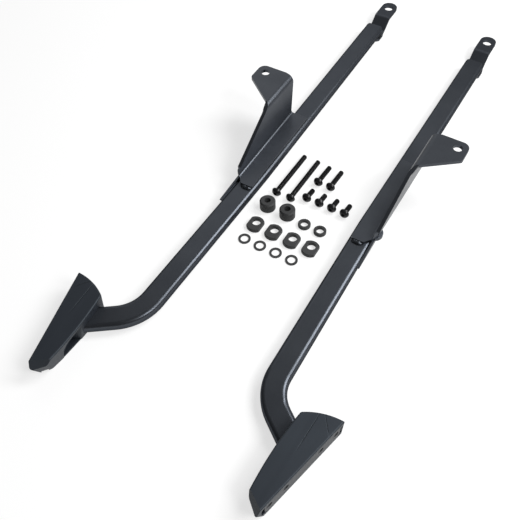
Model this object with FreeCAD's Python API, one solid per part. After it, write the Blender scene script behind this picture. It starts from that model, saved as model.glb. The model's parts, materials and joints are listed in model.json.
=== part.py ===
import FreeCAD, Part
import math
import os
from FreeCAD import Placement, Rotation, Vector

# Top case rack for a motorbike, laid out flat as a kit: two mirror-image side arms and their loose hardware.
# Millimetres, +Z up, +Y towards the front tabs, origin on the floor under the middle of the kit.
# An arm is modelled as the right-hand one: X outward, Y forward, origin where the tube has its slight bend.

# Tube of an arm
TUBE_WIDTH = 25.0
TUBE_HEIGHT = 12.0
TUBE_CORNER = 4.5
TUBE_WALL = 1.5
TUBE_END_WALL = 3.0
TUBE_END_ROUND = 5.0
FRONT_RUN = 335.0
MIDDLE_RUN = 228.0
REAR_RUN = 41.5
KINK_ANGLE = 1.3
KINK_RADIUS = 150.0
BEND_ANGLE = 53.8
BEND_RADIUS = 46.0

# Front tab: a joggled strip welded under the tube's front end
TAB_THICKNESS = 4.0
TAB_WIDTH = 22.0
TAB_TAIL_WIDTH = 26.0
TAB_TAIL_LENGTH = 19.0
TAB_TAIL_CHAMFER = 7.0
TAB_STEP_START = 9.0
TAB_STEP_LENGTH = 17.0
TAB_STEP_BEND = 6.0
TAB_HOLE_AHEAD = 48.0
TAB_HOLE_DIAMETER = 13.0
TAB_TIP_MARGIN = 14.0

# Folded bracket welded on the tube's top
SHEET = 4.0
SHEET_BEND = 3.0
BASE_INNER_MARGIN = 3.5
BASE_REAR = 30.0
BASE_REAR_WIDTH = 15.0
BASE_FRONT = 105.5
RISER_OFFSET = 0.5
RISER_LEAN_OUT = 4.0
RISER_TOE = 16.0
RISER_TOE_HEIGHT = 8.0
RISER_TOP_REAR = 45.0
RISER_TOP_FRONT = 115.5
FLANGE_HEIGHT = 50.0
FLANGE_REACH = 49.5
FLANGE_FRONT = 118.5
FLANGE_FRONT_RUN_IN = 11.0
FLANGE_REAR_INNER = 61.0
FLANGE_REAR_OUTER = 91.0
FLANGE_FRONT_ROUND = 9.0
FLANGE_REAR_ROUND = 5.0
FLANGE_HOLE_DIAMETER = 10.5
FLANGE_HOLE_FROM_FRONT = 12.0
FLANGE_HOLE_FROM_EDGE = 11.5
EAR_DIAMETER = 18.0
EAR_REAR = 11.0
EAR_REACH = 7.7
TONGUE_LENGTH = 44.0
TONGUE_DEPTH = 3.5
TONGUE_TIP = 1.0
TONGUE_THICKNESS = 2.4

# Moulded wing over the tube's rear end, in its own frame: X depth from the rear strip, Y along the strip
WING_HEIGHT = 28.0
WING_NECK_DEPTH = 34.6
WING_NECK_ALONG = 20.0
WING_TAIL_DEPTH = 17.5
WING_TAIL_RUN = 9.0
WING_BEYOND_BAR = 14.7
WING_NOSE_BULGE = 3.0
WING_NECK_BULGE = 2.5
WING_NOSE_DRAFT = 0.3
WING_NECK_DRAFT = 3.0
WING_SIDE_DRAFT = 6.0
WING_TAIL_DRAFT = 9.5
WING_STRIP_DRAFT = 1.0
WING_TOP_ROUND = 1.5
WING_NECK_ROUND = 3.0
WING_NOSE_ROUND = 0.6
WING_TAIL_ROUND = 6.0
WING_TIP_ROUND = 2.0
FACET_FROM_TIP = 9.8
FACET_RUN = 6.5
FACET_DROP = 13.0
FACET_TURN = 18.3
WING_ENTRY_DEPTH = 34.3
WING_ENTRY_ALONG = 38.0
WING_LEAN = 21.2
SOCKET_DEPTH = 14.0
SOCKET_CLEARANCE = 0.2
NOTCH_WIDTH = 7.5
NOTCH_HEIGHT = 4.5
NOTCH_DEPTH = 4.0
HOLLOW_FROM_TIP = 32.2
HOLLOW_ROUND = 12.0
HOLLOW_ROOF = 4.0
HOLLOW_SOCKET_WALL = 2.5
HOLLOW_ROOM_WALL = 2.0

# Mounting bar set into the wing's rear strip
POCKET_DEPTH = 6.0
POCKET_HEIGHT = 18.0
POCKET_ROUND = 5.0
POCKET_START = 1.8
POCKET_BEYOND_BAR = 4.0
POCKET_END_TAPER = 2.5
BAR_RECESS = 0.8
BAR_START = 4.3
BAR_END_TAPER = 1.8
BAR_LENGTH = 95.2
BAR_CLEARANCE = 0.2
BAR_HOLE_DIAMETER = 6.5
BAR_HOLE_FROM_END = 5.6
BAR_HOLE_SPACING = 20.0
BOLT_ROOM_DIAMETER = 7.5
BOLT_ROOM_DEPTH = 7.0

# Button-head bolts with a hexagon socket
BOLT_DIAMETER = 6.0
BOLT_HEAD_DIAMETER = 11.6
BOLT_HEAD_HEIGHT = 4.2
BOLT_HEAD_RIM = 0.6
BOLT_HEAD_FLAT = 5.0
BOLT_SOCKET_WIDTH = 4.0
BOLT_SOCKET_DEPTH = 2.1
BOLT_TIP_CHAMFER = 0.8
LONG_BOLT_LENGTH = 70.0
MEDIUM_BOLT_LENGTH = 30.0
SHORT_BOLT_LENGTH = 16.0

# Spacers and washers
TALL_SPACER_DIAMETER = 18.4
TALL_SPACER_HEIGHT = 13.5
TALL_SPACER_BORE = 7.5
TALL_SPACER_CHAMFER = 1.5
RING_SPACER_DIAMETER = 14.6
RING_SPACER_HEIGHT = 4.2
RING_SPACER_BORE = 9.0
RING_SPACER_CHAMFER = 0.6
FLAT_SPACER_DIAMETER = 21.0
FLAT_SPACER_WIDTH = 16.0
FLAT_SPACER_HEIGHT = 5.0
FLAT_SPACER_BORE = 10.2
FLAT_SPACER_OFFSET = 2.4
FLAT_SPACER_CHAMFER = 0.6
WASHER_DIAMETER = 14.0
WASHER_BORE = 8.8
WASHER_HEIGHT = 1.2

# Layout on the floor, from the left arm's origin
ARM_SPACING = 149.0
ARM_SETBACK = 9.0
ARM_SPLAY = 0.5
LONG_BOLT_X = 31.0
LONG_BOLT_Y = -10.2
LONG_BOLT_PITCH = 18.6
SHORT_BOLT_X = 66.0
SHORT_BOLT_Y = -0.8
MEDIUM_BOLT_Y = 28.0
SHORT_BOLT_PITCH = 16.2
TALL_SPACER_X = 32.0
TALL_SPACER_Y = -33.0
TALL_SPACER_PITCH = 26.0
RING_SPACER_X = 81.5
RING_SPACER_Y = -35.5
RING_SPACER_PITCH = 20.0
FLAT_SPACER_X = 33.5
FLAT_SPACER_Y = -63.0
FLAT_SPACER_PITCH = 23.5
WASHER_X = 32.7
WASHER_Y = -85.4
WASHER_PITCH = 20.0

# Heights and places that follow from the sizes above
TUBE_BOTTOM = TAB_THICKNESS
TUBE_TOP = TUBE_BOTTOM + TUBE_HEIGHT
TUBE_MIDDLE = TUBE_BOTTOM + TUBE_HEIGHT / 2
TUBE_SIDE = TUBE_WIDTH / 2
OVERCUT = 1.0
UP = Vector(0, 0, 1)


def corner_arc(before, corner, after, radius):
    """Start, middle and end of the arc that rounds a corner."""
    back = (before - corner).normalize()
    ahead = (after - corner).normalize()
    half = back.getAngle(ahead) / 2
    inward = (back + ahead).normalize()
    reach = radius / math.tan(half)
    middle = corner + inward * (radius / math.sin(half) - radius)
    return corner + back * reach, middle, corner + ahead * reach


def rounded_wire(corners, closed):
    """A wire through (point, radius) corners, each rounded by its radius."""
    points = [point for point, radius in corners]
    count = len(points)
    spans = []
    for index, (point, radius) in enumerate(corners):
        if radius:
            spans.append(corner_arc(points[index - 1], point, points[(index + 1) % count], radius))
        else:
            spans.append((point,))
    edges = []
    for index, span in enumerate(spans):
        if len(span) == 3:
            edges.append(Part.Arc(*span).toShape())
        if closed or index + 1 < count:
            following = spans[(index + 1) % count][0]
            if span[-1].distanceToPoint(following) > 1e-6:
                edges.append(Part.makeLine(span[-1], following))
    return Part.Wire(edges)


def slab(corners, push):
    """A closed outline of (point, radius) corners pushed into a solid."""
    return Part.Face(rounded_wire(corners, True)).extrude(push)


def plan_slab(corners, low, high):
    """A slab from (x, y, radius) corners between two heights."""
    outline = [(Vector(x, y, low), radius) for x, y, radius in corners]
    return slab(outline, Vector(0, 0, high - low))


def side_slab(corners, low, high):
    """A slab from (y, z, radius) corners between two X places."""
    outline = [(Vector(low, y, z), radius) for y, z, radius in corners]
    return slab(outline, Vector(high - low, 0, 0))


def sweep(path, section):
    """A solid swept along a path of straight runs and arcs."""
    return Part.Wire(path).makePipeShell([section], True, False)


def upright_cylinder(x, y, low, high, diameter):
    return Part.makeCylinder(diameter / 2, high - low, Vector(x, y, low))


def placed(shape, placement):
    """A copy of the shape, moved."""
    copy = shape.copy()
    copy.Placement = placement.multiply(copy.Placement)
    return copy


def turned(x, y, angle):
    """A placement on the floor, turned about Z."""
    return Placement(Vector(x, y, 0), Rotation(UP, angle))


# Tube

def heading(angle):
    """The rearward direction after the tube has turned outward by an angle."""
    return Vector(math.sin(math.radians(angle)), -math.cos(math.radians(angle)), 0)


REAR_TURN = KINK_ANGLE + BEND_ANGLE
KINK_POINT = Vector(0, 0, TUBE_MIDDLE)
BEND_POINT = KINK_POINT + heading(KINK_ANGLE) * MIDDLE_RUN
MOUTH_POINT = BEND_POINT + heading(REAR_TURN) * REAR_RUN


def tube_path(front, socket_depth):
    """The tube's middle line from its front end to its end in the wing's socket."""
    corners = [
        (Vector(0, front, TUBE_MIDDLE), 0),
        (KINK_POINT, KINK_RADIUS),
        (BEND_POINT, BEND_RADIUS),
        (MOUTH_POINT + heading(REAR_TURN) * socket_depth, 0),
    ]
    return rounded_wire(corners, False)


def tube_section(front, shrink):
    """The tube's rounded section at its front end, made smaller all round by shrink."""
    across = TUBE_SIDE - shrink
    high = TUBE_TOP - shrink
    low = TUBE_BOTTOM + shrink
    radius = TUBE_CORNER - shrink
    places = [(-across, low), (across, low), (across, high), (-across, high)]
    return rounded_wire([(Vector(x, front, z), radius) for x, z in places], True)


def end_corner_cut(side):
    """What is taken off one upright corner of the tube's closed front end."""
    centre_x = side * (TUBE_SIDE - TUBE_END_ROUND)
    centre_y = FRONT_RUN - TUBE_END_ROUND
    outer_x = side * (TUBE_SIDE + OVERCUT)
    corner = [
        (centre_x, centre_y, 0),
        (outer_x, centre_y, 0),
        (outer_x, FRONT_RUN + OVERCUT, 0),
        (centre_x, FRONT_RUN + OVERCUT, 0),
    ]
    low = TUBE_BOTTOM - OVERCUT
    high = TUBE_TOP + OVERCUT
    block = plan_slab(corner, low, high)
    return block.cut(upright_cylinder(centre_x, centre_y, low, high, 2 * TUBE_END_ROUND))


def make_tube():
    outer = sweep(tube_path(FRONT_RUN, SOCKET_DEPTH), tube_section(FRONT_RUN, 0))
    for side in (-1, 1):
        outer = outer.cut(end_corner_cut(side))
    hollow_front = FRONT_RUN - TUBE_END_WALL
    hollow = sweep(tube_path(hollow_front, SOCKET_DEPTH + OVERCUT), tube_section(hollow_front, TUBE_WALL))
    return outer.cut(hollow)


# Front tab

def make_front_tab():
    rise = TUBE_HEIGHT
    middle = TAB_THICKNESS / 2
    tail = FRONT_RUN - TAB_TAIL_LENGTH
    step = FRONT_RUN + TAB_STEP_START
    hole_y = FRONT_RUN + TAB_HOLE_AHEAD
    tip = hole_y + TAB_TIP_MARGIN
    path = rounded_wire([
        (Vector(0, tail, middle), 0),
        (Vector(0, step, middle), TAB_STEP_BEND),
        (Vector(0, step + TAB_STEP_LENGTH, middle + rise), TAB_STEP_BEND),
        (Vector(0, tip, middle + rise), 0),
    ], False)
    half_tail = TAB_TAIL_WIDTH / 2
    half = TAB_WIDTH / 2
    strip = sweep(path, rounded_wire([
        (Vector(-half_tail, tail, 0), 0),
        (Vector(half_tail, tail, 0), 0),
        (Vector(half_tail, tail, TAB_THICKNESS), 0),
        (Vector(-half_tail, tail, TAB_THICKNESS), 0),
    ], True))
    side = [
        (half_tail - TAB_TAIL_CHAMFER, tail, 0),
        (half_tail, tail + TAB_TAIL_CHAMFER, 0),
        (half_tail, FRONT_RUN, 0),
        (half, FRONT_RUN + TAB_STEP_START, 0),
        (half, tip, half * 0.999),
    ]
    other_side = [(-x, y, radius) for x, y, radius in reversed(side)]
    outline = plan_slab(side + other_side, -OVERCUT, middle + rise + TAB_THICKNESS)
    hole = upright_cylinder(0, hole_y, 0, rise + TAB_THICKNESS + OVERCUT, TAB_HOLE_DIAMETER)
    return strip.common(outline).cut(hole)


# Bracket

BASE_INNER = -TUBE_SIDE + BASE_INNER_MARGIN
BASE_TOP = TUBE_TOP + SHEET
RISER_INNER = TUBE_SIDE + RISER_OFFSET
RISER_RISE = FLANGE_HEIGHT - SHEET
RISER_SPAN = SHEET * (math.hypot(RISER_RISE, RISER_LEAN_OUT) - RISER_LEAN_OUT) / RISER_RISE
RISER_OUTER = RISER_INNER + RISER_SPAN
RISER_TOP_INNER = RISER_INNER + RISER_LEAN_OUT
RISER_TOP_OUTER = RISER_OUTER + RISER_LEAN_OUT
FLANGE_TOP = TUBE_TOP + FLANGE_HEIGHT
FLANGE_EDGE = TUBE_SIDE + FLANGE_REACH
OUTER_BEND = SHEET_BEND + SHEET
FLANGE_BEND_LOW = FLANGE_TOP - OUTER_BEND


def bracket_section():
    """The bracket's folded section across the tube, from its rear end to its front end."""
    corners = [
        (BASE_INNER, TUBE_TOP, 0),
        (RISER_OUTER, TUBE_TOP, OUTER_BEND),
        (RISER_TOP_OUTER, FLANGE_TOP - SHEET, SHEET_BEND),
        (FLANGE_EDGE, FLANGE_TOP - SHEET, 0),
        (FLANGE_EDGE, FLANGE_TOP, 0),
        (RISER_TOP_INNER, FLANGE_TOP, OUTER_BEND),
        (RISER_INNER, BASE_TOP, SHEET_BEND),
        (BASE_INNER, BASE_TOP, 0),
    ]
    outline = [(Vector(x, -BASE_REAR, z), radius) for x, z, radius in corners]
    return slab(outline, Vector(0, BASE_REAR + FLANGE_FRONT, 0))


def bracket_outline():
    """The bracket's outline seen from above."""
    bend_end = RISER_TOP_OUTER + SHEET_BEND
    corners = [
        (BASE_INNER, -BASE_REAR, SHEET_BEND),
        (BASE_INNER + BASE_REAR_WIDTH, -BASE_REAR, SHEET_BEND),
        (RISER_OUTER, -RISER_TOE, 0),
        (RISER_TOP_OUTER, -RISER_TOE, 0),
        (RISER_TOP_OUTER, RISER_TOP_REAR, 0),
        (bend_end, FLANGE_REAR_INNER, 0),
        (FLANGE_EDGE, FLANGE_REAR_OUTER, FLANGE_REAR_ROUND),
        (FLANGE_EDGE, FLANGE_FRONT, FLANGE_FRONT_ROUND),
        (RISER_TOP_INNER + FLANGE_FRONT_RUN_IN, FLANGE_FRONT, SHEET),
        (RISER_TOP_INNER, RISER_TOP_FRONT, 0),
        (BASE_INNER, RISER_TOP_FRONT, 0),
    ]
    return plan_slab(corners, TUBE_TOP - OVERCUT, FLANGE_TOP + OVERCUT)


def riser_rear_cut():
    """What is cut away behind the riser's sloping rear edge."""
    toe_height = BASE_TOP + RISER_TOE_HEIGHT
    far = -BASE_REAR - OVERCUT
    corners = [
        (far, toe_height, 0),
        (-RISER_TOE, toe_height, SHEET_BEND),
        (RISER_TOP_REAR, FLANGE_BEND_LOW, 0),
        (FLANGE_REAR_INNER, FLANGE_TOP, 0),
        (FLANGE_REAR_INNER, FLANGE_TOP + OVERCUT, 0),
        (far, FLANGE_TOP + OVERCUT, 0),
    ]
    return side_slab(corners, RISER_INNER - OUTER_BEND, RISER_TOP_OUTER + SHEET_BEND)


def riser_front_cut():
    """What is cut away ahead of the base and of the riser's leaning front edge."""
    far = FLANGE_FRONT + OVERCUT
    bend_foot = BASE_TOP + SHEET_BEND
    corners = [
        (BASE_FRONT, TUBE_TOP - OVERCUT, 0),
        (BASE_FRONT, bend_foot, 0),
        (RISER_TOP_FRONT, FLANGE_BEND_LOW, 0),
        (far, FLANGE_BEND_LOW, 0),
        (far, TUBE_TOP - OVERCUT, 0),
    ]
    return side_slab(corners, BASE_INNER - OVERCUT, RISER_TOP_OUTER + SHEET_BEND)


def side_tongue():
    """The pointed tongue behind the riser, folded down along the tube's outer side."""
    front = -RISER_TOE
    rear = front - TONGUE_LENGTH
    corners = [
        (front, TUBE_TOP + SHEET / 2, 0),
        (front, TUBE_TOP - TONGUE_DEPTH, SHEET_BEND),
        (rear, TUBE_TOP - TONGUE_DEPTH + TONGUE_TIP, 0),
        (rear, TUBE_TOP - TONGUE_DEPTH + 2 * TONGUE_TIP, 0),
        (front - BASE_REAR / 4, TUBE_TOP + SHEET / 2, 0),
    ]
    tongue = side_slab(corners, TUBE_SIDE, TUBE_SIDE + TONGUE_THICKNESS)
    return placed(tongue, turned(0, 0, KINK_ANGLE))


def toe_ear():
    """The rounded ear that the base grows outward where the riser's foot ends."""
    centre_x = TUBE_SIDE + EAR_REACH - EAR_DIAMETER / 2
    return upright_cylinder(centre_x, -EAR_REAR, TUBE_TOP, BASE_TOP, EAR_DIAMETER)


def make_bracket():
    hole_x = FLANGE_EDGE - FLANGE_HOLE_FROM_EDGE
    hole_y = FLANGE_FRONT - FLANGE_HOLE_FROM_FRONT
    hole = upright_cylinder(hole_x, hole_y, TUBE_TOP, FLANGE_TOP + OVERCUT, FLANGE_HOLE_DIAMETER)
    folded = bracket_section().common(bracket_outline())
    folded = folded.cut(riser_rear_cut()).cut(riser_front_cut()).cut(hole)
    return folded.fuse([toe_ear(), side_tongue()]).removeSplitter()


# Wing and mounting bar, in the wing's own frame

WING_ANGLE = REAR_TURN + 90 + WING_LEAN
WING_TURN = Rotation(UP, WING_ANGLE)
WING_MOUTH = Vector(WING_ENTRY_DEPTH, WING_ENTRY_ALONG, TUBE_MIDDLE)
WING_PLACEMENT = Placement(MOUTH_POINT - WING_TURN.multVec(WING_MOUTH), WING_TURN)
BAR_END = BAR_START + BAR_LENGTH
BAR_SEAT = WING_HEIGHT / 2
POCKET_END = BAR_END + POCKET_BEYOND_BAR
WING_LENGTH = BAR_END + WING_BEYOND_BAR
WING_TAIL_ALONG = WING_LENGTH - WING_TAIL_RUN


def bulged(start, end, bulge):
    """An edge that bows out to the left of the way from start to end."""
    along = end - start
    left = UP.cross(along).normalize()
    return Part.Arc(start, (start + end) * 0.5 + left * bulge, end).toShape()


def wing_wire(height):
    """The wing's outline at a height: its walls lean in from the top down, each by its own draft."""
    lean = 1 - height / WING_HEIGHT
    strip = WING_STRIP_DRAFT * lean
    nose_end = WING_NOSE_DRAFT * lean
    tail_end = WING_LENGTH - WING_TAIL_DRAFT * lean
    neck_in = WING_NECK_DRAFT * lean
    side_in = WING_SIDE_DRAFT * lean
    nose = Vector(strip, nose_end, height)
    neck = Vector(WING_NECK_DEPTH - neck_in, WING_NECK_ALONG + nose_end, height)
    tail = Vector(WING_TAIL_DEPTH - side_in, WING_TAIL_ALONG - WING_TAIL_DRAFT * lean, height)
    tip = Vector(strip, tail_end, height)
    return Part.Wire([
        Part.makeLine(tip, nose),
        bulged(nose, neck, -WING_NOSE_BULGE),
        bulged(neck, tail, -WING_NECK_BULGE),
        Part.makeLine(tail, tip),
    ])


def upright_edges_at(shape, x, y):
    """The edge that runs from bottom to top below a place in the top's outline."""
    top = Vector(x, y, WING_HEIGHT)
    return [e for e in shape.Edges if min(v.Point.distanceToPoint(top) for v in e.Vertexes) < 1e-3
            and e.BoundBox.ZLength > WING_HEIGHT / 2]


def level_edges(shape, height):
    """The edges that lie at one height."""
    flat = 0.01
    return [e for e in shape.Edges if abs(e.BoundBox.ZMin - height) < flat and e.BoundBox.ZLength < flat]


def wing_body():
    body = Part.makeLoft([wing_wire(0), wing_wire(WING_HEIGHT)], True, True)
    rounds = [
        (WING_NECK_DEPTH, WING_NECK_ALONG, WING_NECK_ROUND),
        (WING_TAIL_DEPTH, WING_TAIL_ALONG, WING_TAIL_ROUND),
        (0, 0, WING_NOSE_ROUND),
        (0, WING_LENGTH, WING_TIP_ROUND),
    ]
    for x, y, radius in rounds:
        body = body.makeFillet(radius, upright_edges_at(body, x, y))
    body = body.makeFillet(WING_TOP_ROUND, level_edges(body, WING_HEIGHT))
    return body.cut(tail_facet())


def tail_facet():
    """What is cut off above the facet that slopes down at the wing's tail."""
    high = WING_HEIGHT + OVERCUT
    low = WING_HEIGHT - 2 * FACET_DROP
    far = WING_NECK_DEPTH
    corners = [(0, WING_HEIGHT, 0), (2 * FACET_RUN, low, 0), (far, low, 0), (far, high, 0), (0, high, 0)]
    block = side_slab(corners, -WING_NECK_DEPTH, WING_NECK_DEPTH)
    return placed(block, turned(0, WING_LENGTH - FACET_FROM_TIP, -FACET_TURN))


def strip_pocket(start, end, low, high, depth_start, depth_end, corner):
    """A rounded bar-shaped space along the rear strip."""
    corners = [(start, low, corner), (end, low, corner), (end, high, corner), (start, high, corner)]
    return side_slab(corners, depth_start, depth_end)


def slanted_plan(start, start_floor, end, end_floor):
    """The plan of a space along the strip whose ends slant from the mouth in to the pocket's floor."""
    return plan_slab([
        (-OVERCUT, start, 0),
        (BAR_RECESS, start, 0),
        (POCKET_DEPTH, start_floor, 0),
        (POCKET_DEPTH, end_floor, 0),
        (BAR_RECESS, end, 0),
        (-OVERCUT, end, 0),
    ], 0, WING_HEIGHT)


def bar_pocket():
    low = BAR_SEAT - POCKET_HEIGHT / 2
    high = BAR_SEAT + POCKET_HEIGHT / 2
    mouth = strip_pocket(POCKET_START, POCKET_END, low, high, -OVERCUT, POCKET_DEPTH, POCKET_ROUND)
    start_floor = BAR_START + BAR_END_TAPER - BAR_CLEARANCE
    return mouth.common(slanted_plan(POCKET_START, start_floor, POCKET_END, POCKET_END - POCKET_END_TAPER))


def bar_hole_places():
    first = BAR_START + BAR_HOLE_FROM_END
    last = BAR_END - BAR_HOLE_FROM_END
    return [first, first + BAR_HOLE_SPACING, last - BAR_HOLE_SPACING, last]


def strip_hole(along, depth_start, depth_end, diameter):
    place = Vector(depth_start, along, BAR_SEAT)
    return Part.makeCylinder(diameter / 2, depth_end - depth_start, place, Vector(1, 0, 0))


def tube_socket():
    """The socket for the tube's rear end, in the wing's frame."""
    across = TUBE_SIDE + SOCKET_CLEARANCE
    low = TUBE_BOTTOM - SOCKET_CLEARANCE
    high = TUBE_TOP + SOCKET_CLEARANCE
    radius = TUBE_CORNER + SOCKET_CLEARANCE
    into = Vector(-math.cos(math.radians(WING_LEAN)), math.sin(math.radians(WING_LEAN)), 0)
    sideways = Vector(into.y, -into.x, 0)
    bottom = Vector(WING_ENTRY_DEPTH, WING_ENTRY_ALONG, 0) + into * SOCKET_DEPTH
    places = [(-across, low), (across, low), (across, high), (-across, high)]
    outline = [(bottom + sideways * offset + UP * z, radius) for offset, z in places]
    return slab(outline, into * -WING_NECK_DEPTH)


def side_hollow():
    """The arched hollow in the wing's inner side, from the tube's socket towards the tail, open below."""
    roof = WING_HEIGHT - HOLLOW_ROOF
    floor = POCKET_DEPTH + BOLT_ROOM_DEPTH + HOLLOW_ROOM_WALL
    end = WING_LENGTH - HOLLOW_FROM_TIP
    mouth = 2 * WING_NECK_DEPTH
    beside = TUBE_SIDE + SOCKET_CLEARANCE + HOLLOW_SOCKET_WALL
    lean = math.radians(WING_LEAN)
    start = WING_ENTRY_ALONG + WING_ENTRY_DEPTH * math.tan(lean) + beside / math.cos(lean)
    plan = plan_slab([
        (floor, start - floor * math.tan(lean), 0),
        (floor, end, 0),
        (mouth, end, 0),
        (mouth, start - mouth * math.tan(lean), 0),
    ], -OVERCUT, roof)
    arch = [(0, -OVERCUT, 0), (end, -OVERCUT, 0), (end, roof, HOLLOW_ROUND), (0, roof, 0)]
    return plan.common(side_slab(arch, 0, mouth))


def tail_notch():
    """The small notch in the lower edge of the wing's tail end."""
    tail = Vector(WING_TAIL_DEPTH - WING_SIDE_DRAFT, WING_TAIL_ALONG - WING_TAIL_DRAFT, 0)
    tip = Vector(WING_STRIP_DRAFT, WING_LENGTH - WING_TAIL_DRAFT, 0)
    along = (tip - tail).normalize()
    inward = Vector(along.y, -along.x, 0) * -1
    middle = (tail + tip) * 0.5
    start = middle - along * (NOTCH_WIDTH / 2) + inward * NOTCH_DEPTH - UP * OVERCUT
    outline = [
        (start, 0),
        (start + along * NOTCH_WIDTH, 0),
        (start + along * NOTCH_WIDTH - inward * 2 * NOTCH_DEPTH, 0),
        (start - inward * 2 * NOTCH_DEPTH, 0),
    ]
    return slab(outline, UP * (NOTCH_HEIGHT + OVERCUT))


def make_wing():
    wing = wing_body().cut(bar_pocket()).cut(tube_socket()).cut(side_hollow()).cut(tail_notch())
    for along in bar_hole_places():
        room_end = POCKET_DEPTH + BOLT_ROOM_DEPTH
        wing = wing.cut(strip_hole(along, POCKET_DEPTH - OVERCUT, room_end, BOLT_ROOM_DIAMETER))
    return placed(wing, WING_PLACEMENT)


def make_mounting_bar():
    low = BAR_SEAT - POCKET_HEIGHT / 2 + BAR_CLEARANCE
    high = BAR_SEAT + POCKET_HEIGHT / 2 - BAR_CLEARANCE
    corner = POCKET_ROUND - BAR_CLEARANCE
    bar = strip_pocket(BAR_START, BAR_END, low, high, BAR_RECESS, POCKET_DEPTH, corner)
    bar = bar.common(slanted_plan(BAR_START, BAR_START + BAR_END_TAPER, BAR_END, BAR_END))
    for along in bar_hole_places():
        bar = bar.cut(strip_hole(along, 0, POCKET_DEPTH + OVERCUT, BAR_HOLE_DIAMETER))
    return placed(bar, WING_PLACEMENT)


# Loose hardware

def make_bolt(length):
    """A button-head bolt along Y with its head at the back, lying on its head's rim and its tip."""
    shank = BOLT_DIAMETER / 2
    head = BOLT_HEAD_DIAMETER / 2
    flat = BOLT_HEAD_FLAT / 2
    crown = BOLT_HEAD_HEIGHT - BOLT_HEAD_RIM
    swell = Vector((head + flat) / 2, 0, -BOLT_HEAD_RIM - crown / 2) + Vector(crown, 0, flat - head) * 0.13
    profile = Part.Wire([
        Part.makeLine(Vector(0, 0, -BOLT_HEAD_HEIGHT), Vector(flat, 0, -BOLT_HEAD_HEIGHT)),
        Part.Arc(Vector(flat, 0, -BOLT_HEAD_HEIGHT), swell, Vector(head, 0, -BOLT_HEAD_RIM)).toShape(),
        Part.makeLine(Vector(head, 0, -BOLT_HEAD_RIM), Vector(head, 0, 0)),
        Part.makeLine(Vector(head, 0, 0), Vector(shank, 0, 0)),
        Part.makeLine(Vector(shank, 0, 0), Vector(shank, 0, length - BOLT_TIP_CHAMFER)),
        Part.makeLine(
            Vector(shank, 0, length - BOLT_TIP_CHAMFER),
            Vector(shank - BOLT_TIP_CHAMFER, 0, length)),
        Part.makeLine(Vector(shank - BOLT_TIP_CHAMFER, 0, length), Vector(0, 0, length)),
        Part.makeLine(Vector(0, 0, length), Vector(0, 0, -BOLT_HEAD_HEIGHT)),
    ])
    bolt = Part.Face(profile).revolve(Vector(0, 0, 0), UP, 360)
    reach = BOLT_SOCKET_WIDTH / math.sqrt(3)
    sixths = [math.radians(60 * turn) for turn in range(6)]
    top = -BOLT_HEAD_HEIGHT - OVERCUT
    hexagon = [(Vector(reach * math.cos(a), reach * math.sin(a), top), 0) for a in sixths]
    bolt = bolt.cut(slab(hexagon, UP * (BOLT_SOCKET_DEPTH + OVERCUT)))
    tilt = math.degrees(math.atan2(head - shank, length - BOLT_TIP_CHAMFER))
    height = head * math.cos(math.radians(tilt))
    lying = Placement(Vector(0, 0, height), Rotation(Vector(1, 0, 0), -90 - tilt))
    return placed(bolt, lying)


def bolt_row(length, x, y, pitch, count):
    bolt = make_bolt(length)
    return Part.makeCompound([placed(bolt, turned(x + pitch * i, y, 0)) for i in range(count)])


def chamfered_disc(diameter, height, chamfer):
    disc = Part.makeCylinder(diameter / 2, height)
    rims = [edge for edge in disc.Edges if len(edge.Vertexes) == 1]
    return disc.makeChamfer(chamfer, rims) if chamfer else disc


def make_ring(diameter, bore, height, chamfer):
    """A disc with a round hole, chamfered on its outer rims."""
    disc = chamfered_disc(diameter, height, chamfer)
    return disc.cut(upright_cylinder(0, 0, -OVERCUT, height + OVERCUT, bore))


def make_flat_spacer():
    """A disc with two flats and a hole off its middle."""
    disc = chamfered_disc(FLAT_SPACER_DIAMETER, FLAT_SPACER_HEIGHT, FLAT_SPACER_CHAMFER)
    half = FLAT_SPACER_WIDTH / 2
    reach = FLAT_SPACER_DIAMETER
    between = plan_slab(
        [(-half, -reach, 0), (half, -reach, 0), (half, reach, 0), (-half, reach, 0)],
        -OVERCUT, FLAT_SPACER_HEIGHT + OVERCUT)
    hole = upright_cylinder(
        0, FLAT_SPACER_OFFSET, -OVERCUT, FLAT_SPACER_HEIGHT + OVERCUT, FLAT_SPACER_BORE)
    return disc.common(between).cut(hole)


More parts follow.
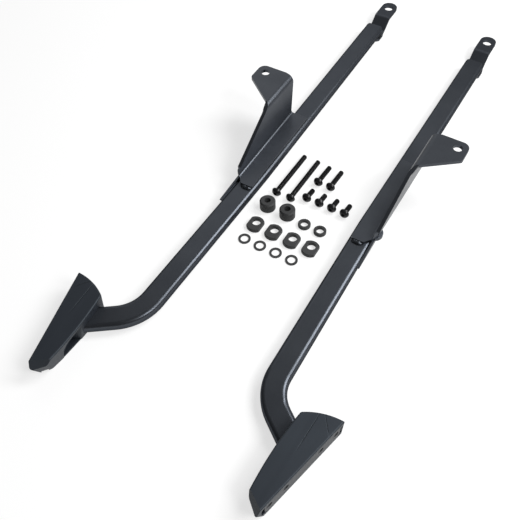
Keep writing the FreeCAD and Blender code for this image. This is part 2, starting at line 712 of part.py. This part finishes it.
def hardware():
    """The loose pieces between the arms, by node name."""
    nodes = {
        "long_bolts": bolt_row(LONG_BOLT_LENGTH, LONG_BOLT_X, LONG_BOLT_Y, LONG_BOLT_PITCH, 2),
        "medium_bolts": bolt_row(MEDIUM_BOLT_LENGTH, SHORT_BOLT_X, MEDIUM_BOLT_Y, SHORT_BOLT_PITCH, 2),
        "short_bolts": bolt_row(SHORT_BOLT_LENGTH, SHORT_BOLT_X, SHORT_BOLT_Y, SHORT_BOLT_PITCH, 4),
    }
    washer = make_ring(WASHER_DIAMETER, WASHER_BORE, WASHER_HEIGHT, 0)
    washers = [placed(washer, turned(WASHER_X + WASHER_PITCH * i, WASHER_Y, 0)) for i in range(4)]
    nodes["washers"] = Part.makeCompound(washers)
    tall = make_ring(TALL_SPACER_DIAMETER, TALL_SPACER_BORE, TALL_SPACER_HEIGHT, TALL_SPACER_CHAMFER)
    ring = make_ring(RING_SPACER_DIAMETER, RING_SPACER_BORE, RING_SPACER_HEIGHT, RING_SPACER_CHAMFER)
    spacers = [
        ("tall_spacer", tall, TALL_SPACER_X, TALL_SPACER_Y, TALL_SPACER_PITCH, 2),
        ("ring_spacer", ring, RING_SPACER_X, RING_SPACER_Y, RING_SPACER_PITCH, 2),
        ("flat_sided_spacer", make_flat_spacer(), FLAT_SPACER_X, FLAT_SPACER_Y, FLAT_SPACER_PITCH, 4),
    ]
    for name, spacer, x, y, pitch, count in spacers:
        for i in range(count):
            nodes[f"{name}_{i + 1}"] = placed(spacer, turned(x + pitch * i, y, 0))
    return nodes


# Whole kit

def arms():
    """Both arms' pieces, by node name, set side by side on the floor."""
    pieces = {
        "tube": make_tube(),
        "front_tab": make_front_tab(),
        "bracket": make_bracket(),
        "wing": make_wing(),
        "mounting_bar": make_mounting_bar(),
    }
    nodes = {}
    for name, piece in pieces.items():
        mirrored = piece.mirror(Vector(0, 0, 0), Vector(1, 0, 0))
        nodes["left_" + name] = placed(mirrored, turned(0, 0, ARM_SPLAY))
        nodes["right_" + name] = placed(piece, turned(ARM_SPACING, -ARM_SETBACK, -ARM_SPLAY))
    return nodes


def main():
    nodes = {**arms(), **hardware()}
    box = Part.makeCompound(list(nodes.values())).optimalBoundingBox(False, False)
    centred = turned(-box.Center.x, -box.Center.y, 0)
    os.makedirs("parts", exist_ok=True)
    for name, shape in nodes.items():
        placed(shape, centred).exportStep(f"parts/{name}.step")


main()
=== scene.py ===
import bpy
import bmesh
import json
import math
from mathutils import Matrix, Vector


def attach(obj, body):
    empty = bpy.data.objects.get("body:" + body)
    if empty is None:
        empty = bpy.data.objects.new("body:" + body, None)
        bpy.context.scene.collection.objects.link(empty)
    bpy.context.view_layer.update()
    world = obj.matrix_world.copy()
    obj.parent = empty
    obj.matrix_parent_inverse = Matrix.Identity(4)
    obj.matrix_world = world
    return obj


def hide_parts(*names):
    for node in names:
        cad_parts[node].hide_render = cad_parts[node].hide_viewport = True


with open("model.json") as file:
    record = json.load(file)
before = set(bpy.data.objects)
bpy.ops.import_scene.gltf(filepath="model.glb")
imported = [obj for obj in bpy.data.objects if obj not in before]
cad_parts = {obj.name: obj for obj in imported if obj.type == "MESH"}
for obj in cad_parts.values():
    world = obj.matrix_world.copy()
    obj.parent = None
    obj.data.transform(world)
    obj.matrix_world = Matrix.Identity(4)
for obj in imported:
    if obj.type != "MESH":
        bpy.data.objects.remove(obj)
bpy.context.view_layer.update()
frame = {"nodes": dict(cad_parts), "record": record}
scene = bpy.context.scene
scene.view_settings.view_transform = "Standard"

MM = 0.001

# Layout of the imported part, in millimetres and degrees
SHIFT = Vector((-74.5, -29.472, 0))
ARM_SPACING = 149.0
ARM_SETBACK = 9.0
ARM_SPLAY = 0.5
TUBE_TOP = 16.0
WING_ORIGIN = Vector((81.533, -222.890, 0))
WING_ANGLE = 166.3


def arm_point(arm, x, y, z):
    """A point of an arm's own frame (x outward, y forward) in the scene's frame, in metres."""
    turn = math.radians(ARM_SPLAY)
    along_x = x * math.cos(turn) + y * math.sin(turn)
    along_y = -x * math.sin(turn) + y * math.cos(turn)
    if arm == "right":
        place = Vector((ARM_SPACING + along_x, along_y - ARM_SETBACK, z))
    else:
        place = Vector((-along_x, along_y, z))
    return (place + SHIFT) * MM


# Materials

def new_material(name):
    """A new node material with its node list, links and main shader."""
    mat = bpy.data.materials.new(name)
    mat.use_nodes = True
    nodes = mat.node_tree.nodes
    return mat, nodes, mat.node_tree.links, nodes["Principled BSDF"]


def noise(nodes, links, coords, scale, detail=3.0, roughness=0.55):
    """A noise texture's value at the given coordinates."""
    node = nodes.new("ShaderNodeTexNoise")
    node.inputs["Scale"].default_value = scale
    node.inputs["Detail"].default_value = detail
    node.inputs["Roughness"].default_value = roughness
    links.new(coords, node.inputs["Vector"])
    return node.outputs["Fac"]


def ramp(nodes, links, fac, low, high, start=0.3, end=0.7):
    """Maps a 0 to 1 value to a span of grey or colour."""
    node = nodes.new("ShaderNodeValToRGB")
    node.color_ramp.elements[0].position = start
    node.color_ramp.elements[1].position = end
    node.color_ramp.elements[0].color = (*low, 1)
    node.color_ramp.elements[1].color = (*high, 1)
    links.new(fac, node.inputs["Fac"])
    return node.outputs["Color"]


def grey(v):
    return (v, v, v)


def math_node(nodes, links, operation, first, second):
    """One Math node; each input is a socket or a number."""
    node = nodes.new("ShaderNodeMath")
    node.operation = operation
    for socket, value in zip(node.inputs, (first, second)):
        if isinstance(value, (int, float)):
            socket.default_value = value
        else:
            links.new(value, socket)
    return node.outputs[0]


def bumped(nodes, links, bsdf, layers):
    """Stacks bump layers of (height socket, strength, distance) on the surface's normal."""
    normal = None
    for height, strength, distance in layers:
        bump = nodes.new("ShaderNodeBump")
        bump.inputs["Strength"].default_value = strength
        bump.inputs["Distance"].default_value = distance
        links.new(height, bump.inputs["Height"])
        if normal:
            links.new(normal, bump.inputs["Normal"])
        normal = bump.outputs["Normal"]
    links.new(normal, bsdf.inputs["Normal"])


def coated(name, low, high, rough, grain, specular, metallic=0.0, drift=25.0, peel=0.00002, fine=0.000004,
           edge=1.0):
    """A coated or moulded surface: colour drift, waviness and fine grain in bump and roughness."""
    mat, nodes, links, bsdf = new_material(name)
    coords = nodes.new("ShaderNodeTexCoord").outputs["Object"]
    patches = noise(nodes, links, coords, drift, 4.0)
    links.new(ramp(nodes, links, patches, low, high), bsdf.inputs["Base Color"])
    waves = noise(nodes, links, coords, grain, 2.0)
    specks = noise(nodes, links, coords, grain * 4.5, 2.0)
    links.new(ramp(nodes, links, specks, grey(rough[0]), grey(rough[1])), bsdf.inputs["Roughness"])
    bumped(nodes, links, bsdf, [(waves, 0.35, peel), (specks, 0.5, fine)])
    bsdf.inputs["Specular IOR Level"].default_value = specular
    bsdf.inputs["Metallic"].default_value = metallic
    bsdf.inputs["Specular Tint"].default_value = (edge, edge, edge, 1)
    return mat


PAINT_LOW = (0.060, 0.066, 0.077)
PAINT_HIGH = (0.072, 0.079, 0.091)
PAINT_GRAIN = 420
PAINT_SPECULAR = 0.3
PAINT_METALLIC = 0.85


def painted(name, rough, edge):
    """The satin black paint of the steel pieces; edge is how much it mirrors at a low angle."""
    return coated(name, PAINT_LOW, PAINT_HIGH, rough, PAINT_GRAIN, PAINT_SPECULAR, PAINT_METALLIC, edge=edge)


looks = {
    "tube_paint": painted("tube_paint_look", (0.30, 0.36), 0.2),
    "tab_paint": painted("tab_paint_look", (0.34, 0.40), 0.2),
    "bracket_paint": painted("bracket_paint_look", (0.30, 0.36), 0.9),
    "bar_metal": coated(
        "bar_metal_look", (0.055, 0.058, 0.062), (0.085, 0.088, 0.092), (0.42, 0.55), 300, 0.4, 0.4,
        edge=0.6),
    "bolt_black": coated(
        "bolt_black_look", (0.006, 0.006, 0.007), (0.011, 0.011, 0.012), (0.24, 0.36), 900, 0.4),
    "washer_black": coated(
        "washer_black_look", (0.026, 0.027, 0.028), (0.040, 0.041, 0.042), (0.38, 0.52), 700, 0.35),
    "spacer_black": coated(
        "spacer_black_look", (0.030, 0.031, 0.032), (0.042, 0.043, 0.044), (0.50, 0.65), 500, 0.3),
}

# The wing's finish, with places as (depth, along) in the wing's frame, in millimetres
WING_TOP_START = (26.5, 27.5)
LONG_CREASE = ((20.8, 10.0), (13.2, 48.0))
LONG_CREASE_FADE = (36, 52)
SHORT_CREASE = ((17.0, 7.0), (2.0, 19.5))
SHORT_CREASE_FADE = (2, 6)
CREASE_WIDTH = (0.1, 0.55)
# Painted shade: the share of the base colour left along the creases
CREASE_SHADE = (0.35, 0.35, 0.35, 1)
BULGE_REACH = (-6, 0)
BULGE_END = (-1, 1)
PLASTIC_LOW = (0.0118, 0.0142, 0.0188)
PLASTIC_HIGH = (0.0162, 0.0192, 0.0248)
PLASTIC_ROUGH = (0.48, 0.60)
PLASTIC_SPECULAR = 0.45
PLASTIC_TINT = (0.78, 0.89, 1.0, 1)


def wing_look(arm):
    """Moulded plastic with a spark-eroded grain and two fine creases near the nose, with painted shade along
    the creases, in the wing's frame.
    """
    mat, nodes, links, bsdf = new_material(f"wing_plastic_look_{arm}")
    coords = nodes.new("ShaderNodeTexCoord").outputs["Object"]
    side = 1 if arm == "right" else -1
    origin = arm_point(arm, *WING_ORIGIN)
    mirror = nodes.new("ShaderNodeMapping")
    mirror.inputs["Scale"].default_value = (side, 1, 1)
    links.new(coords, mirror.inputs["Vector"])
    frame_node = nodes.new("ShaderNodeMapping")
    frame_node.vector_type = "TEXTURE"
    frame_node.inputs["Location"].default_value = (side * origin.x, origin.y, 0)
    frame_node.inputs["Rotation"].default_value = (0, 0, math.radians(WING_ANGLE - ARM_SPLAY))
    frame_node.inputs["Scale"].default_value = (MM, MM, MM)
    links.new(mirror.outputs[0], frame_node.inputs["Vector"])
    place = frame_node.outputs[0]

    def beyond(start, end):
        """How far a place lies to the strip's side of a line across the wing's top, in millimetres."""
        line = Vector((end[0] - start[0], end[1] - start[1], 0)).normalized()
        across = Vector((-line.y, line.x, 0))
        dot = nodes.new("ShaderNodeVectorMath")
        dot.operation = "DOT_PRODUCT"
        links.new(place, dot.inputs[0])
        dot.inputs[1].default_value = across
        return math_node(nodes, links, "SUBTRACT", dot.outputs["Value"], across.dot(Vector((*start, 0))))

    def smooth(value, low, high, at_low, at_high):
        """A smooth step of a value from one level to another."""
        node = nodes.new("ShaderNodeMapRange")
        node.interpolation_type = "SMOOTHSTEP"
        node.inputs["From Min"].default_value = low
        node.inputs["From Max"].default_value = high
        node.inputs["To Min"].default_value = at_low
        node.inputs["To Max"].default_value = at_high
        links.new(value, node.inputs["Value"])
        return node.outputs[0]

    split = nodes.new("ShaderNodeSeparateXYZ")
    links.new(place, split.inputs[0])
    depth, along, height = split.outputs
    on_top = smooth(height, *WING_TOP_START, 0, 1)
    long_line = beyond(*LONG_CREASE)
    short_line = beyond(*SHORT_CREASE)
    long_fade = math_node(nodes, links, "MULTIPLY", smooth(along, *LONG_CREASE_FADE, 1, 0), on_top)
    short_fade = math_node(nodes, links, "MULTIPLY", smooth(depth, *SHORT_CREASE_FADE, 0, 1), on_top)
    grooves = []
    for line, fade in ((long_line, long_fade), (short_line, short_fade)):
        away = math_node(nodes, links, "ABSOLUTE", line, 0.0)
        grooves.append(math_node(nodes, links, "MULTIPLY", smooth(away, *CREASE_WIDTH, 1, 0), fade))
    groove = math_node(nodes, links, "MAXIMUM", *grooves)
    inside_long = smooth(long_line, *BULGE_REACH, 0, 1)
    inside_short = smooth(short_line, *BULGE_END, 1, 0)
    between = math_node(nodes, links, "MULTIPLY", inside_long, inside_short)

    patches = noise(nodes, links, coords, 18, 4.0)
    base = ramp(nodes, links, patches, PLASTIC_LOW, PLASTIC_HIGH)
    # Painted shade: the base colour is darkened along the creases
    shade = nodes.new("ShaderNodeMix")
    shade.data_type = "RGBA"
    shade.blend_type = "MULTIPLY"
    shade.inputs["B"].default_value = CREASE_SHADE
    links.new(groove, shade.inputs["Factor"])
    links.new(base, shade.inputs["A"])
    links.new(shade.outputs["Result"], bsdf.inputs["Base Color"])
    grain = noise(nodes, links, coords, 900, 3.0)
    waves = noise(nodes, links, coords, 60, 2.0)
    rough_low, rough_high = PLASTIC_ROUGH
    links.new(ramp(nodes, links, grain, grey(rough_low), grey(rough_high)), bsdf.inputs["Roughness"])
    dip = math_node(nodes, links, "MULTIPLY", groove, -1.0)
    layers = [(waves, 0.3, 0.0003), (grain, 0.4, 0.00002), (dip, 1.0, 0.00025), (between, 0.5, 0.0002)]
    bumped(nodes, links, bsdf, layers)
    bsdf.inputs["Specular IOR Level"].default_value = PLASTIC_SPECULAR
    bsdf.inputs["Specular Tint"].default_value = PLASTIC_TINT
    return mat


wing_looks = {arm: wing_look(arm) for arm in ("left", "right")}
for part in frame["record"]["subparts"]:
    node = frame["nodes"][part["node"]]
    node.data.materials.clear()
    if part["material_slot"] == "wing_plastic":
        node.data.materials.append(wing_looks[part["node"].split("_")[0]])
    else:
        node.data.materials.append(looks[part["material_slot"]])


SHARP_ANGLE = 38


def finish_piece(name, bm, slot, *nodes, look=None):
    """Turns a mesh in metres into a piece of the part with its finish."""
    mesh = bpy.data.meshes.new(name)
    bm.normal_update()
    bm.to_mesh(mesh)
    bm.free()
    mesh.materials.append(look or looks[slot])
    mesh.polygons.foreach_set("use_smooth", [True] * len(mesh.polygons))
    mesh.set_sharp_from_angle(angle=math.radians(SHARP_ANGLE))
    piece = bpy.data.objects.new(name, mesh)
    scene.collection.objects.link(piece)
    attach(piece, "root")
    if nodes:
        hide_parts(*nodes)


# Bolts with a rolled thread and a hexagon socket, in millimetres along their own axis from under the head

BOLT_SIDES = 36
SHANK = 3.0
HEAD = 5.8
HEAD_HEIGHT = 4.2
HEAD_RIM = 0.6
HEAD_FLAT = 2.5
HEAD_EDGE = 0.2
HEAD_SWELL = 0.26
HEAD_STEPS = 8
SOCKET_WIDTH = 4.0
SOCKET_DEPTH = 2.1
SOCKET_MOUTH = (0.08, 0.12)
SOCKET_FLOOR = (0.6, 0.05)
SOCKET_POINT = (0.05, 0.5)
TIP_CHAMFER = 0.8
THREAD_PITCH = 1.0
THREAD_DEPTH = 0.5
THREAD_RUN_IN = (0.7, 2.2)
THREAD_PROFILE = ((0.0, 1.0), (0.20, 1.0), (0.56, 0.0), (0.68, 0.0))


def smoothstep(low, high, value):
    """Rises smoothly from 0 at low to 1 at high."""
    t = min(max((value - low) / (high - low), 0), 1)
    return t * t * (3 - 2 * t)


def thread_radius(z, cut, length):
    """The shank's radius at a height for a share of the thread's cut, run out at the head and at the tip."""
    radius = SHANK - THREAD_DEPTH * cut * smoothstep(*THREAD_RUN_IN, z)
    return min(radius, SHANK - max(0, z - (length - TIP_CHAMFER)))


def add_thread(bm, length):
    """The shank's skin: rows that follow the thread's helix, flattened at both ends."""
    per_turn = len(THREAD_PROFILE)
    turns = int(length / THREAD_PITCH) + 2
    columns = []
    for side in range(BOLT_SIDES):
        angle = 2 * math.pi * side / BOLT_SIDES
        column = []
        for turn in range(-1, turns):
            for offset, cut in THREAD_PROFILE:
                z = THREAD_PITCH * (turn + offset + side / BOLT_SIDES)
                z = min(max(z, 0), length)
                radius = thread_radius(z, cut, length)
                column.append(bm.verts.new((radius * math.cos(angle), radius * math.sin(angle), z)))
        columns.append(column)
    rows = len(columns[0])
    for side in range(BOLT_SIDES):
        last = side == BOLT_SIDES - 1
        following = columns[0] if last else columns[side + 1]
        skip = per_turn if last else 0
        for row in range(rows - 1 - skip):
            here = columns[side]
            beside = row + skip
            bm.faces.new((here[row], following[beside], following[beside + 1], here[row + 1]))


def ring(bm, radius, z, hexagon=False):
    """A ring of points, round or following a hexagon."""
    points = []
    for side in range(BOLT_SIDES):
        angle = 2 * math.pi * side / BOLT_SIDES
        reach = radius
        if hexagon:
            reach = radius / math.cos((angle % (math.pi / 3)) - math.pi / 6)
        points.append(bm.verts.new((reach * math.cos(angle), reach * math.sin(angle), z)))
    return points


def skin(bm, rings):
    """Faces between each ring and the next."""
    for low, high in zip(rings, rings[1:]):
        for side in range(BOLT_SIDES):
            ahead = (side + 1) % BOLT_SIDES
            bm.faces.new((low[side], low[ahead], high[ahead], high[side]))


def add_head(bm):
    """The domed head from the shank outward, over the dome and down into the socket."""
    under = [(SHANK, 0), (HEAD - HEAD_EDGE, 0), (HEAD, -HEAD_EDGE), (HEAD, -HEAD_RIM)]
    rings = [ring(bm, radius, z) for radius, z in under]
    crown = HEAD_HEIGHT - HEAD_RIM
    bend_radius = (HEAD + HEAD_FLAT) / 2 + crown * HEAD_SWELL
    bend_z = -HEAD_RIM - crown / 2 - (HEAD - HEAD_FLAT) * HEAD_SWELL
    for step in range(1, HEAD_STEPS + 1):
        t = step / HEAD_STEPS
        radius = (1 - t) ** 2 * HEAD + 2 * t * (1 - t) * bend_radius + t * t * HEAD_FLAT
        z = (1 - t) ** 2 * -HEAD_RIM + 2 * t * (1 - t) * bend_z + t * t * -HEAD_HEIGHT
        rings.append(ring(bm, radius, z))
    flat = SOCKET_WIDTH / 2
    bottom = SOCKET_DEPTH - HEAD_HEIGHT
    rings.append(ring(bm, flat + SOCKET_MOUTH[0], -HEAD_HEIGHT, True))
    rings.append(ring(bm, flat, -HEAD_HEIGHT + SOCKET_MOUTH[1], True))
    rings.append(ring(bm, flat, bottom, True))
    rings.append(ring(bm, flat * SOCKET_FLOOR[0], bottom + SOCKET_FLOOR[1]))
    rings.append(ring(bm, SOCKET_POINT[0], bottom + SOCKET_POINT[1]))
    skin(bm, rings)
    bm.faces.new(reversed(rings[-1]))


def add_bolts(kind, length, x, y, pitch, count):
    """A row of bolts that lie on head and tip, each in place of one in the solids."""
    tilt = math.atan2(HEAD - SHANK, length - TIP_CHAMFER)
    for index in range(count):
        bm = bmesh.new()
        add_thread(bm, length)
        add_head(bm)
        bmesh.ops.remove_doubles(bm, verts=bm.verts, dist=0.002)
        bmesh.ops.dissolve_degenerate(bm, edges=bm.edges, dist=0.001)
        open_edges = [edge for edge in bm.edges if edge.is_boundary]
        bmesh.ops.holes_fill(bm, edges=open_edges, sides=0)
        bmesh.ops.recalc_face_normals(bm, faces=bm.faces)
        place = Vector((x + pitch * index, y, HEAD * math.cos(tilt))) + SHIFT
        lying = Matrix.Rotation(-math.pi / 2 - tilt, 4, "X")
        bm.transform(Matrix.Translation(place * MM) @ lying @ Matrix.Scale(MM, 4))
        finish_piece(f"{kind}_bolt_{index + 1}", bm, "bolt_black", f"{kind}_bolts")


add_bolts("long", 70.0, 31.0, -10.2, 18.6, 2)
add_bolts("medium", 30.0, 66.0, 28.0, 16.2, 2)
add_bolts("short", 16.0, 66.0, -0.8, 16.2, 4)


def close_rings(bm, rings):
    """A closed skin over rings of equally many points, with a face at each end."""
    for low, high in zip(rings, rings[1:]):
        for step in range(len(low)):
            ahead = (step + 1) % len(low)
            bm.faces.new((low[step], low[ahead], high[ahead], high[step]))
    bm.faces.new(reversed(rings[0]))
    bm.faces.new(rings[-1])
    bmesh.ops.recalc_face_normals(bm, faces=bm.faces)


# Weld beads where the bracket sits on the tube, painted over

BEAD_SPACING = 0.45
BEAD_SMOOTHING = 4
BEAD_SIDES = 14
BEAD_FLATNESS = 0.85
BEAD_END = 0.15
BEAD_TAPER = 1.2
RIPPLE = (0.10, 1.7)
SWAY = (0.05, 0.9)


def weld_bead(name, arm, path, radius, slot):
    """A rippled bead along points of an arm's frame, tapered at both ends."""
    corners = [Vector(point) for point in path]
    stations = []
    for start, end in zip(corners, corners[1:]):
        count = max(1, round((end - start).length / BEAD_SPACING))
        stations += [start.lerp(end, step / count) for step in range(count)]
    stations.append(corners[-1])
    for _ in range(BEAD_SMOOTHING):
        inner = [(a + b * 2 + c) / 4 for a, b, c in zip(stations, stations[1:], stations[2:])]
        stations = [stations[0], *inner, stations[-1]]
    bm = bmesh.new()
    rings = []
    last = len(stations) - 1
    for index, centre in enumerate(stations):
        tangent = (stations[min(index + 1, last)] - stations[max(index - 1, 0)]).normalized()
        sideways = tangent.cross(Vector((0, 0, 1))).normalized()
        upward = sideways.cross(tangent)
        from_end = min(index, last - index) * BEAD_SPACING
        taper = math.sqrt(min(1, (from_end + BEAD_END) / (radius * BEAD_TAPER)))
        run = index * BEAD_SPACING
        ripple = RIPPLE[0] * abs(math.sin(math.pi * run / RIPPLE[1]))
        sway = SWAY[0] * math.sin(run * SWAY[1])
        reach = radius * taper * (1 + ripple + sway)
        points = []
        for step in range(BEAD_SIDES):
            angle = 2 * math.pi * step / BEAD_SIDES
            offset = sideways * math.cos(angle) * reach + upward * math.sin(angle) * reach * BEAD_FLATNESS
            points.append(bm.verts.new(arm_point(arm, *(centre + offset))))
        rings.append(points)
    close_rings(bm, rings)
    finish_piece(name, bm, slot)


for arm in ("left", "right"):
    weld_bead(f"{arm}_rear_weld", arm, [(-8, -30.2, 16.4), (5.5, -30.2, 16.4)], 3.0, "bracket_paint")
    weld_bead(f"{arm}_front_weld", arm, [(-8, 105.7, 16.4), (11, 105.7, 16.4)], 2.6, "bracket_paint")


# Paint-filled seam between the bracket's pointed tongue and the tube's rounded edge

TUBE_SIDE = 12.5
TUBE_CORNER = 4.5
KINK = math.radians(1.3)
TONGUE_TOP = ((-60.0, 14.5), (-23.5, 18.0))
SEAM_FRONT = -17.0
SEAM_REAR = -59.6
SEAM_TOP = 14.1
SEAM_INSET = 0.9
SEAM_SINK = 0.04
SEAM_STEP = 0.4
SEAM_OVERLAP = 0.3
SEAM_DEPTH = 1.4
SEAM_POINTS = 5
SEAM_STEPS = 30


def seam_ring(y):
    """The seam's section at a place along the tube, as (x, z) points from the tube out to the tongue."""
    (rear, low), (front, high) = TONGUE_TOP
    tongue = low + (high - low) * min(1, (y - rear) / (front - rear))
    side = TUBE_SIDE - y * math.tan(KINK)
    reach = TUBE_CORNER - SEAM_INSET
    inner = TUBE_TOP - TUBE_CORNER + math.sqrt(TUBE_CORNER ** 2 - reach ** 2) - SEAM_SINK
    outer = min(tongue - SEAM_STEP, SEAM_TOP)
    width = SEAM_INSET + SEAM_OVERLAP
    points = []
    for step in range(SEAM_POINTS):
        share = step / (SEAM_POINTS - 1)
        points.append((side - SEAM_INSET + width * share, inner + (outer - inner) * share))
    points.append((side + SEAM_OVERLAP, outer - SEAM_DEPTH))
    points.append((side - SEAM_INSET, outer - SEAM_DEPTH))
    return points


def tongue_seam(arm):
    """The seam of one arm, along the tongue from its front to its tip."""
    bm = bmesh.new()
    rings = []
    for step in range(SEAM_STEPS + 1):
        y = SEAM_FRONT + (SEAM_REAR - SEAM_FRONT) * step / SEAM_STEPS
        rings.append([bm.verts.new(arm_point(arm, x, y, z)) for x, z in seam_ring(y)])
    close_rings(bm, rings)
    finish_piece(f"{arm}_tongue_seam", bm, "bracket_paint")


# Plate of wing plastic that closes the hollow of a wing below, put there as painted shade for the dark
# inside of the hollow, as (depth, along) corners in the wing's frame

SHADE_PLATE_CORNERS = ((14.2, 61.3), (14.2, 82.8), (16.4, 82.8), (20.35, 70.1), (24.0, 57.7))
SHADE_PLATE_LOW = 0.15
SHADE_PLATE_HIGH = 1.5
SHADE_PLATE_ROUND = 0.3


def wing_point(arm, depth, along, height):
    """A point of a wing's own frame in the scene's frame, in metres."""
    turn = math.radians(WING_ANGLE)
    x = WING_ORIGIN.x + depth * math.cos(turn) - along * math.sin(turn)
    y = WING_ORIGIN.y + depth * math.sin(turn) + along * math.cos(turn)
    return arm_point(arm, x, y, height)


def wing_shade_plate(arm):
    """The shade plate of one wing, a thin plate with rounded edges that stands in for the shade inside the
    hollow.
    """
    bm = bmesh.new()
    low = [bm.verts.new(wing_point(arm, *corner, SHADE_PLATE_LOW)) for corner in SHADE_PLATE_CORNERS]
    high = [bm.verts.new(wing_point(arm, *corner, SHADE_PLATE_HIGH)) for corner in SHADE_PLATE_CORNERS]
    close_rings(bm, [low, high])
    bmesh.ops.bevel(bm, geom=bm.edges[:], offset=SHADE_PLATE_ROUND * MM, segments=2, affect="EDGES", profile=0.5)
    finish_piece(f"{arm}_wing_shade_plate", bm, "wing_plastic", look=wing_looks[arm])


for arm in ("left", "right"):
    tongue_seam(arm)
    # A plate under each wing's hollow stands in for the shade inside it
    wing_shade_plate(arm)


# Camera at the photograph's place, with its focal length and shift in pixels of the photograph's frame

IMAGE_SIZE = 520
SENSOR = 36.0
FOCAL_PIXELS = 638.1
SHIFT_PIXELS = (-22.76, 2.68)
CAMERA_PLACE = (0.2137, -0.477072, 0.5606)
CAMERA_DIRECTION = (-0.2915, 0.5117, -0.8082)

camera_data = bpy.data.cameras.new("camera")
camera_data.sensor_fit = "HORIZONTAL"
camera_data.sensor_width = SENSOR
camera_data.lens = FOCAL_PIXELS / IMAGE_SIZE * SENSOR
camera_data.shift_x = SHIFT_PIXELS[0] / IMAGE_SIZE
camera_data.shift_y = SHIFT_PIXELS[1] / IMAGE_SIZE
camera_data.clip_start = 0.01
camera = bpy.data.objects.new("camera", camera_data)
scene.collection.objects.link(camera)
camera.location = CAMERA_PLACE
camera.rotation_euler = Vector(CAMERA_DIRECTION).to_track_quat("-Z", "Y").to_euler()
scene.camera = camera


# Floor and light

FLOOR_REACH = 6.0
FLOOR_COLOUR = (0.35, 0.35, 0.35)
FLOOR_GLOW = 0.67
WORLD_STRENGTH = 0.10


def seen_white(name, colour, glow):
    """A pale surface that keeps shadows and is near white to the camera and in reflections."""
    mat, nodes, links, bsdf = new_material(name)
    nodes.remove(bsdf)
    paths = nodes.new("ShaderNodeLightPath")
    seen = math_node(nodes, links, "MAXIMUM", paths.outputs["Is Camera Ray"], paths.outputs["Is Glossy Ray"])
    seen = math_node(nodes, links, "MAXIMUM", seen, paths.outputs["Is Transmission Ray"])
    diffuse = nodes.new("ShaderNodeBsdfDiffuse")
    diffuse.inputs["Color"].default_value = (*colour, 1)
    emission = nodes.new("ShaderNodeEmission")
    links.new(math_node(nodes, links, "MULTIPLY", seen, glow), emission.inputs["Strength"])
    both = nodes.new("ShaderNodeAddShader")
    links.new(diffuse.outputs[0], both.inputs[0])
    links.new(emission.outputs[0], both.inputs[1])
    links.new(both.outputs[0], nodes["Material Output"].inputs["Surface"])
    return mat


floor_mesh = bpy.data.meshes.new("floor")
floor_corners = [(x * FLOOR_REACH, y * FLOOR_REACH, 0) for x, y in ((-1, -1), (1, -1), (1, 1), (-1, 1))]
floor_mesh.from_pydata(floor_corners, [], [(0, 1, 2, 3)])
floor_mesh.materials.append(seen_white("floor_look", FLOOR_COLOUR, FLOOR_GLOW))
floor = bpy.data.objects.new("floor", floor_mesh)
scene.collection.objects.link(floor)

world = bpy.data.worlds.new("studio")
world.use_nodes = True
scene.world = world
background = world.node_tree.nodes["Background"]
background.inputs["Color"].default_value = (1, 1, 1, 1)
background.inputs["Strength"].default_value = WORLD_STRENGTH


def softbox(name, place, aim, size, power):
    """A rectangular lamp in metres and watts, turned so that its height lies along the arms."""
    data = bpy.data.lights.new(name, "AREA")
    data.shape = "RECTANGLE"
    data.size, data.size_y = size
    data.energy = power
    light = bpy.data.objects.new(name, data)
    scene.collection.objects.link(light)
    light.location = place
    toward = (Vector(aim) - Vector(place)).normalized()
    across = toward.cross(Vector((0, 1, 0))).normalized()
    along = across.cross(toward)
    light.rotation_euler = Matrix((across, along, -toward)).transposed().to_euler()


softbox("key", (0.80, 0.74, 1.22), (0, -0.1, 0), (1.2, 0.6), 28)
softbox("back", (-0.95, 1.15, 1.10), (0, 0, 0), (1.6, 1.6), 6.5)
softbox("side", (1.20, -0.25, 1.20), (0, 0, 0), (0.6, 0.6), 15)
